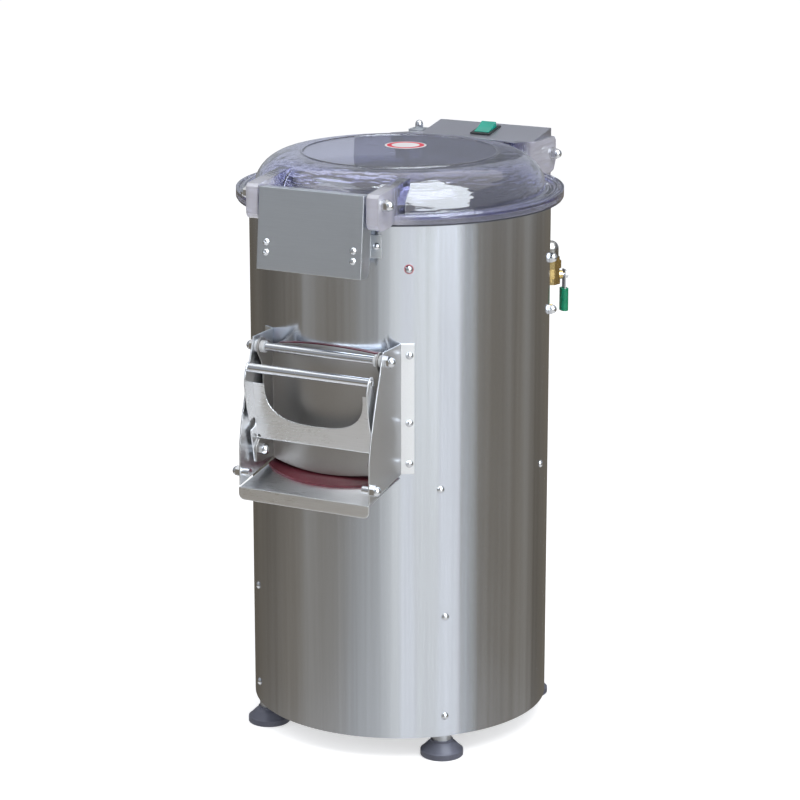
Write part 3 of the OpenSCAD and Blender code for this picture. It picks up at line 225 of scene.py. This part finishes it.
def bumped(nodes, links, shader, height, strength, depth, edge=0.0):
    """Bump by height, over edges that catch the light as if rounded by the radius edge."""
    bump = nodes.new("ShaderNodeBump")
    if edge:
        rounded = nodes.new("ShaderNodeBevel")
        rounded.samples = 6
        rounded.inputs["Radius"].default_value = edge
        links.new(rounded.outputs["Normal"], bump.inputs["Normal"])
    bump.inputs["Strength"].default_value = strength
    bump.inputs["Distance"].default_value = depth
    links.new(height, bump.inputs["Height"])
    links.new(bump.outputs["Normal"], shader.inputs["Normal"])


# ---- finishes ----


def steel(name, colour, rough, grain, spread=0.05, depth=0.00002, streak=0.06, edge=0.0):
    """Brushed or polished steel. grain gives its waves per metre along x, y and z, spread how
    far the roughness varies, depth the height of the bump, streak the share by which the
    colour varies, and edge the radius of its rounded edges."""
    material, nodes, links, shader = new_material(name)
    shader.inputs["Metallic"].default_value = 1.0
    lines = noise(nodes, links, grain, 5.0, 0.65)
    smears = noise(nodes, links, (9, 9, 5), 3.0, 0.5)
    dark, pale = shade(colour, 1 - streak), shade(colour, 1 + streak)
    tint = mixed(nodes, links, span(nodes, links, lines, 0, 1), dark, pale)
    links.new(tint, shader.inputs["Base Color"])
    fine_wear = span(nodes, links, lines, rough - spread / 2, rough + spread / 2)
    wide_wear = span(nodes, links, smears, -spread / 2, spread / 2)
    links.new(computed(nodes, links, "ADD", fine_wear, wide_wear), shader.inputs["Roughness"])
    bumped(nodes, links, shader, lines, 0.35, depth, edge)
    return material


def brushed_round(material):
    """Brushing round the upright axis, which draws reflections out along it."""
    nodes, links = material.node_tree.nodes, material.node_tree.links
    shader = nodes["Principled BSDF"]
    around = nodes.new("ShaderNodeTangent")
    around.direction_type = "RADIAL"
    around.axis = "Z"
    links.new(around.outputs["Tangent"], shader.inputs["Tangent"])
    shader.inputs["Anisotropic"].default_value = BRUSH_PULL
    shader.inputs["Anisotropic Rotation"].default_value = BRUSH_TURN
    return material


def matte(name, colour, rough, scale=300, share=0.12, depth=0.00006):
    """Rubber, cast metal, paint or moulded plastic: fine mottling with a matching bump. scale
    gives its waves per metre and share how far the colour varies."""
    material, nodes, links, shader = new_material(name)
    grain = noise(nodes, links, (scale, scale, scale), 4.0, 0.6)
    clouds = noise(nodes, links, (25, 25, 25), 3.0, 0.5)
    dark, pale = shade(colour, 1 - share), shade(colour, 1 + share)
    tint = mixed(nodes, links, span(nodes, links, clouds, 0, 1), dark, pale)
    links.new(tint, shader.inputs["Base Color"])
    links.new(span(nodes, links, grain, rough - 0.06, rough + 0.06), shader.inputs["Roughness"])
    bumped(nodes, links, shader, grain, 0.4, depth)
    return material


def abrasive():
    """Carborundum grit: bright grains in a dark bond."""
    material, nodes, links, shader = new_material("abrasive_grit")
    cells = nodes.new("ShaderNodeTexVoronoi")
    cells.inputs["Scale"].default_value = 1.0
    links.new(object_coords(nodes, links, (520, 520, 520)), cells.inputs["Vector"])
    grains = span(nodes, links, cells.outputs["Distance"], 1, 0, 0.05, 0.45)
    tint = mixed(nodes, links, grains, shade(ABRASIVE, 0.5), shade(ABRASIVE, 2.2))
    links.new(tint, shader.inputs["Base Color"])
    shader.inputs["Roughness"].default_value = 0.8
    bumped(nodes, links, shader, grains, 0.8, 0.0006)
    return material


def clear_lid():
    """Smoky clear plastic, darker where it is seen edge on. Its flat top is even, its round
    shoulder is rippled from moulding, its rim is ringed and the cast ears are milkier."""
    material, nodes, links, shader = new_material("clear_lid")
    shader.inputs["IOR"].default_value = 1.49
    shader.inputs["Coat Weight"].default_value = 1.0
    shader.inputs["Coat IOR"].default_value = 1.6
    shader.inputs["Coat Roughness"].default_value = 0.02
    coords = nodes.new("ShaderNodeTexCoord").outputs["Object"]
    split = nodes.new("ShaderNodeSeparateXYZ")
    links.new(coords, split.inputs["Vector"])
    lengthways = computed(nodes, links, "ABSOLUTE", split.outputs["Y"])
    ear = span(nodes, links, lengthways, 0, 1, *LID_EARS)
    clear = span(nodes, links, ear, LID_CLEAR, LID_EAR_CLEAR, 0, 1)
    links.new(clear, shader.inputs["Transmission Weight"])
    links.new(mixed(nodes, links, ear, LID, LID_EAR), shader.inputs["Base Color"])
    wipes = noise(nodes, links, (160, 420, 160), 4.0, 0.6)
    links.new(span(nodes, links, wipes, 0.01, 0.04), shader.inputs["Roughness"])
    flat = nodes.new("ShaderNodeVectorMath")
    flat.operation = "MULTIPLY"
    flat.inputs[1].default_value = (1, 1, 0)
    links.new(coords, flat.inputs[0])
    length = nodes.new("ShaderNodeVectorMath")
    length.operation = "LENGTH"
    links.new(flat.outputs["Vector"], length.inputs[0])
    away = length.outputs["Value"]
    ripples = noise(nodes, links, LID_RIPPLE, 2.6, 0.55)
    rippled = span(nodes, links, away, LID_TOP_RIPPLED, 1, *LID_SHOULDER)
    turns = span(nodes, links, away, 0, math.tau * LID_RINGS, 0, LID_OUTSIDE)
    rings = computed(nodes, links, "SINE", turns)
    ringed = span(nodes, links, away, 0, LID_RING_RELIEF, *LID_RIM)
    shoulder = computed(nodes, links, "MULTIPLY", ripples, rippled)
    relief = computed(nodes, links, "MULTIPLY_ADD", rings, ringed, shoulder)
    bumped(nodes, links, shader, relief, 0.8, LID_RELIEF, LID_EDGE)
    links.new(shader.inputs["Normal"].links[0].from_socket, shader.inputs["Coat Normal"])
    smoke = nodes.new("ShaderNodeVolumeAbsorption")
    smoke.inputs["Color"].default_value = (*LID_SMOKE, 1)
    smoke.inputs["Density"].default_value = LID_ABSORPTION
    links.new(smoke.outputs["Volume"], nodes["Material Output"].inputs["Volume"])
    return material


def sticker_paint(centre, ring_in, ring_out):
    """White film with a plain red ring, by the distance from its centre."""
    material, nodes, links, shader = new_material("sticker_film")
    coords = nodes.new("ShaderNodeTexCoord")
    away = nodes.new("ShaderNodeVectorMath")
    away.operation = "DISTANCE"
    away.inputs[1].default_value = centre
    links.new(coords.outputs["Object"], away.inputs[0])
    ramp = nodes.new("ShaderNodeValToRGB")
    blur = 0.01
    reach = ring_out / 0.9
    stops = [
        (0.0, STICKER_WHITE), (ring_in / reach - blur, STICKER_WHITE),
        (ring_in / reach, STICKER_RED), (ring_out / reach, STICKER_RED),
        (ring_out / reach + blur, STICKER_WHITE),
    ]
    set_stops(ramp.color_ramp, stops)
    links.new(span(nodes, links, away.outputs["Value"], 0, 1, 0, reach), ramp.inputs["Fac"])
    links.new(ramp.outputs["Color"], shader.inputs["Base Color"])
    wrinkles = noise(nodes, links, (260, 260, 260), 3.0, 0.5)
    links.new(span(nodes, links, wrinkles, 0.35, 0.5), shader.inputs["Roughness"])
    bumped(nodes, links, shader, wrinkles, 0.2, 0.00005)
    return material


def set_stops(ramp, stops):
    """Puts (place, colour) stops on a colour ramp."""
    while len(ramp.elements) > 1:
        ramp.elements.remove(ramp.elements[-1])
    ramp.elements[0].position = stops[0][0]
    ramp.elements[0].color = (*stops[0][1], 1)
    for place, colour in stops[1:]:
        ramp.elements.new(place).color = (*colour, 1)


def finishes():
    """Every finish with the CAD nodes that wear it."""
    round_grain = (40, 40, 1400)
    flat_grain = (30, 900, 900)
    door_grain = (900, 30, 900)
    even_grain = (150, 150, 150)
    drum = steel("drum_steel", STEEL, 0.155, (110, 110, 1.2), 0.04, 0.00001, 0.045)
    return [
        (brushed_round(drum), ["drum_shell"]),
        (steel("satin_sheet", SHEET, 0.34, flat_grain, 0.05, 0.00001, 0.03, 0.0016), [
            "latch_plate", "latch_hooks", "latch_keepers", "magnet_plate", "waste_outlet",
            "chamber_floor",
        ]),
        (steel("box_sheet", BOX_SHEET, 0.34, flat_grain, 0.05, 0.00001, 0.03, 0.0016), [
            "control_box", "control_box_cover",
        ]),
        # The door wears a darkened copy of the sheet steel: painted shade
        (steel("door_sheet_painted_shade", SHADED_WARM_SHEET, 0.42, door_grain, 0.08, 0.00001, 0.06, 0.0012), [
            "door_panel",
        ]),
        # The chute tray and handle frame wear a brightened copy of the sheet steel: painted sheen
        (steel("sheet_painted_sheen", SHEEN_LIT_SHEET, 0.3, flat_grain, 0.06, 0.00001, 0.04, 0.0014), [
            "chute_tray", "handle_frame",
        ]),
        (steel("polished_sheet", CHEEK_SHEET, 0.35, flat_grain, 0.06, 0.00001, 0.04, 0.0012), [
            "chute_cheek_left", "chute_cheek_right",
        ]),
        (steel("bright_steel", BRIGHT, 0.15, round_grain, 0.05, 0.00001, 0.04), [
            "housing_screws", "acorn_nuts", "disc_nut", "door_rod", "handle_bar", "pivot_bolts",
            "pivot_nuts", "latch_studs", "latch_screws", "latch_pin", "lid_nuts", "hinge_pin",
            "drive_shaft", "shaft_bearings", "valve_ball", "valve_lever",
        ]),
        (steel("zinc_plate", ZINC, 0.42, (120, 120, 120), 0.12, 0.00004, 0.12), [
            "base_ring", "motor_plate", "foot_collars", "driven_pulley", "motor_pulley",
        ]),
        (matte("foot_rubber", RUBBER, 0.42), ["foot_pads"]),
        (matte("belt_rubber", BELT, 0.7), ["drive_belt", "shaft_seal"]),
        (matte("gasket_rubber", GASKET, 0.5), ["lid_gasket"]),
        (abrasive(), ["abrasive_liner", "abrasive_disc"]),
        (matte("cast_iron", CAST, 0.6, 180, 0.2, 0.0002), ["bearing_housing"]),
        (matte("motor_enamel", PAINT, 0.35, 120), ["motor"]),
        (matte("red_silicone", SILICONE, 0.42, 220, 0.18), ["tray_flap", "door_seal"]),
        (matte("washer_rubber", WASHER, 0.5), ["liner_washers"]),
        (clear_lid(), ["lid_dome"]),
        (matte("white_nylon", NYLON, 0.38, 200, 0.04), ["door_bushes"]),
        (matte("black_plastic", BLACK, 0.38, 400), [
            "switch_bezel", "contactor", "interlock_switch", "cable_gland",
        ]),
        (matte("green_lens", GREEN, 0.16, 90, 0.15, 0.00002), ["switch_rocker"]),
        (matte("green_sleeve", SLEEVE, 0.3, 150, 0.12), ["lever_sleeve"]),
        (steel("brass", BRASS, 0.24, even_grain, 0.08, 0.00002, 0.08), [
            "valve_body", "union_nut", "inlet_locknut",
        ]),
        (steel("grey_fitting", FITTING, 0.3, even_grain, 0.08, 0.00002, 0.08), ["water_elbow"]),
    ]


def dress(nodes):
    """Gives each CAD node its finish."""
    for material, names in finishes():
        for name in names:
            for slot in nodes[name].material_slots:
                slot.link = "OBJECT"
                slot.material = material


# ---- pieces ----


def sticker():
    """The round sticker on the lid, in the photograph's place, with a rounded edge."""
    radius, thick = STICKER_RADIUS, STICKER_THICK
    profile = [(0, thick), (radius * 0.97, thick), (radius, thick * 0.4), (radius, 0)]
    mesh = bmesh.new()
    line = [mesh.verts.new((r, 0, z)) for r, z in profile]
    edges = [mesh.edges.new(pair) for pair in zip(line, line[1:])]
    bmesh.ops.spin(
        mesh, geom=line + edges, cent=(0, 0, 0), axis=(0, 0, 1), angle=math.tau, steps=64
    )
    bmesh.ops.remove_doubles(mesh, verts=mesh.verts, dist=0.000001)
    bmesh.ops.recalc_face_normals(mesh, faces=mesh.faces)
    bmesh.ops.translate(mesh, verts=mesh.verts, vec=STICKER_PLACE)
    disc = add_mesh("lid_sticker", mesh)
    disc.data.materials.append(sticker_paint(STICKER_PLACE, *STICKER_RING))
    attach(disc, "lid")


def add_mesh(name, mesh):
    data = bpy.data.meshes.new(name)
    mesh.to_mesh(data)
    mesh.free()
    piece = bpy.data.objects.new(name, data)
    bpy.context.scene.collection.objects.link(piece)
    return piece


# ---- set ----


def only_in_reflections(piece):
    """Hides a piece of the set from everything but glossy reflections."""
    for ray in ("camera", "diffuse", "transmission", "volume_scatter", "shadow"):
        setattr(piece, "visible_" + ray, False)


def heading(angle):
    """The horizontal direction at an angle from the front, -y, towards the right, +x."""
    turn = math.radians(angle)
    return Vector((math.sin(turn), -math.cos(turn), 0))


def flag_colour(light):
    """A flag's colour, the warmer the darker it is."""
    cool = min(max((light - FLAG_WARM_TO) / FLAG_WARM_TO, 0), 1)
    return tuple(light * (w + (c - w) * cool) for w, c in zip(FLAG_WARM, FLAG_COOL))


def glowing(name):
    """A material that only glows; returns it, its nodes, its links and the emission node."""
    material = bpy.data.materials.new(name)
    material.use_nodes = True
    material.cycles.emission_sampling = "NONE"
    nodes, links = material.node_tree.nodes, material.node_tree.links
    nodes.clear()
    glow = nodes.new("ShaderNodeEmission")
    output = nodes.new("ShaderNodeOutputMaterial")
    links.new(glow.outputs["Emission"], output.inputs["Surface"])
    return material, nodes, links, glow


def flag_paint():
    """The flags' light by direction, turning to the pale ceiling above and floor below."""
    material, nodes, links, glow = glowing("flag_paint")
    coords = nodes.new("ShaderNodeTexCoord")
    turned = nodes.new("ShaderNodeMapping")
    turned.inputs["Rotation"].default_value = (0, 0, math.radians(90))
    links.new(coords.outputs["Object"], turned.inputs["Vector"])
    around = nodes.new("ShaderNodeTexGradient")
    around.gradient_type = "RADIAL"
    links.new(turned.outputs["Vector"], around.inputs["Vector"])
    ramps = []
    for lights in (FLAG_LIGHT_LOW, FLAG_LIGHT_HIGH):
        ramp = nodes.new("ShaderNodeValToRGB")
        stops = [((angle + 180) / 360, flag_colour(light)) for angle, light in lights]
        set_stops(ramp.color_ramp, stops)
        links.new(around.outputs["Fac"], ramp.inputs["Fac"])
        ramps.append(ramp.outputs["Color"])
    split = nodes.new("ShaderNodeSeparateXYZ")
    links.new(coords.outputs["Object"], split.inputs["Vector"])
    rise = span(nodes, links, split.outputs["Z"], -1, 1, -FLAG_RADIUS, FLAG_RADIUS)
    high = span(nodes, links, rise, 0, 1, *FLAG_LEVEL_HIGH)
    ceiling = span(nodes, links, rise, 0, 1, *FLAG_LEVEL_CEILING)
    ground = span(nodes, links, rise, 1, 0, *FLAG_LEVEL_FLOOR)
    wall = mixed(nodes, links, high, *ramps)
    wall = mixed(nodes, links, ceiling, wall, CEILING)
    wall = mixed(nodes, links, ground, wall, FLOOR_GLOW)
    links.new(wall, glow.inputs["Color"])
    return material


def flags():
    """The flags: walls round the set, open where the white background shows."""
    mesh = bmesh.new()
    for low, high in FLAG_ARCS:
        steps = max(4, (high - low) // 5)
        rows = []
        for i in range(steps + 1):
            out = heading(low + (high - low) * i / steps) * FLAG_RADIUS
            ends = (out + Vector((0, 0, z)) for z in (-FLAG_HEIGHT, FLAG_HEIGHT))
            rows.append([mesh.verts.new(end) for end in ends])
        for first, second in zip(rows, rows[1:]):
            mesh.faces.new((first[0], second[0], second[1], first[1]))
    wall = add_mesh("set_flags", mesh)
    wall.data.materials.append(flag_paint())
    only_in_reflections(wall)


def card(name, angle, rise, distance, width, height, light, light_again):
    """A flat card of that light in the set, such as a softbox's face or a dark flag, and of
    light_again in a reflection of a reflection."""
    material, nodes, links, glow = glowing(name)
    glow.inputs["Color"].default_value = (*CARD_COLOUR, 1)
    bounce = nodes.new("ShaderNodeLightPath").outputs["Glossy Depth"]
    links.new(span(nodes, links, bounce, light, light_again, 1, 2), glow.inputs["Strength"])
    mesh = bmesh.new()
    corners = [(-0.5, -0.5), (0.5, -0.5), (0.5, 0.5), (-0.5, 0.5)]
    mesh.faces.new([mesh.verts.new((x * width, y * height, 0)) for x, y in corners])
    flat = add_mesh(name, mesh)
    flat.data.materials.append(material)
    place(flat, angle, rise, distance)
    only_in_reflections(flat)


def place(thing, angle, rise, distance):
    """Puts a lamp or card in that direction from the drum's upper half, facing it."""
    up = math.radians(rise)
    aim = Vector((0, 0, AIM_HEIGHT))
    out = heading(angle) * math.cos(up) + Vector((0, 0, math.sin(up)))
    thing.location = aim + out * distance
    thing.rotation_euler = out.to_track_quat("Z", "Y").to_euler()


def lamp(name, angle, rise, distance, size, power):
    light = bpy.data.lights.new(name, "AREA")
    light.shape = "RECTANGLE"
    light.size = light.size_y = size
    light.energy = power
    thing = bpy.data.objects.new(name, light)
    bpy.context.scene.collection.objects.link(thing)
    thing.visible_glossy = False
    place(thing, angle, rise, distance)


def world():
    """White wherever the background is seen, straight or in metal and glass; even soft light
    on everything else."""
    scene_world = bpy.data.worlds.new("studio")
    bpy.context.scene.world = scene_world
    scene_world.use_nodes = True
    scene_world.cycles.sampling_method = "NONE"
    nodes, links = scene_world.node_tree.nodes, scene_world.node_tree.links
    back = nodes["Background"]
    path = nodes.new("ShaderNodeLightPath").outputs
    seen = computed(nodes, links, "MAXIMUM", path["Is Camera Ray"], path["Is Glossy Ray"])
    seen = computed(nodes, links, "MAXIMUM", seen, path["Is Transmission Ray"])
    links.new(mixed(nodes, links, seen, WORLD_GREY, WHITE), back.inputs["Color"])
    back.inputs["Strength"].default_value = 1.0


def floor():
    """A plain pale floor that keeps the object's shadow."""
    material, nodes, links, shader = new_material("floor_paint")
    grain = noise(nodes, links, (3, 3, 3), 2.0, 0.5)
    tint = mixed(nodes, links, span(nodes, links, grain, 0, 1), FLOOR_DARK, FLOOR_PALE)
    links.new(tint, shader.inputs["Base Color"])
    shader.inputs["Roughness"].default_value = 0.9
    shader.inputs["Specular IOR Level"].default_value = 0.0
    path = nodes.new("ShaderNodeLightPath").outputs
    seen = computed(nodes, links, "MAXIMUM", path["Is Camera Ray"], path["Is Transmission Ray"])
    links.new(span(nodes, links, seen, 0, FLOOR_LIGHT, 0, 1), shader.inputs["Emission Strength"])
    shader.inputs["Emission Color"].default_value = (*WHITE, 1)
    mesh = bmesh.new()
    bmesh.ops.create_grid(mesh, x_segments=4, y_segments=4, size=FLOOR_HALF)
    ground = add_mesh("set_floor", mesh)
    ground.data.materials.append(material)
    ground.visible_glossy = False


def camera():
    data = bpy.data.cameras.new("camera")
    data.lens = CAMERA_LENS
    data.clip_end = 100
    eye = bpy.data.objects.new("camera", data)
    eye.location = CAMERA_PLACE
    eye.rotation_euler = (math.radians(90 - CAMERA_DOWN), 0, math.radians(CAMERA_TURN))
    bpy.context.scene.collection.objects.link(eye)
    bpy.context.scene.camera = eye


def main():
    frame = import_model()
    camera()
    dress(frame["nodes"])
    sticker()
    floor()
    flags()
    for values in CARDS:
        card(*values)
    for values in LAMPS:
        lamp(*values)
    world()
    bpy.context.scene.view_settings.view_transform = "Standard"


main()
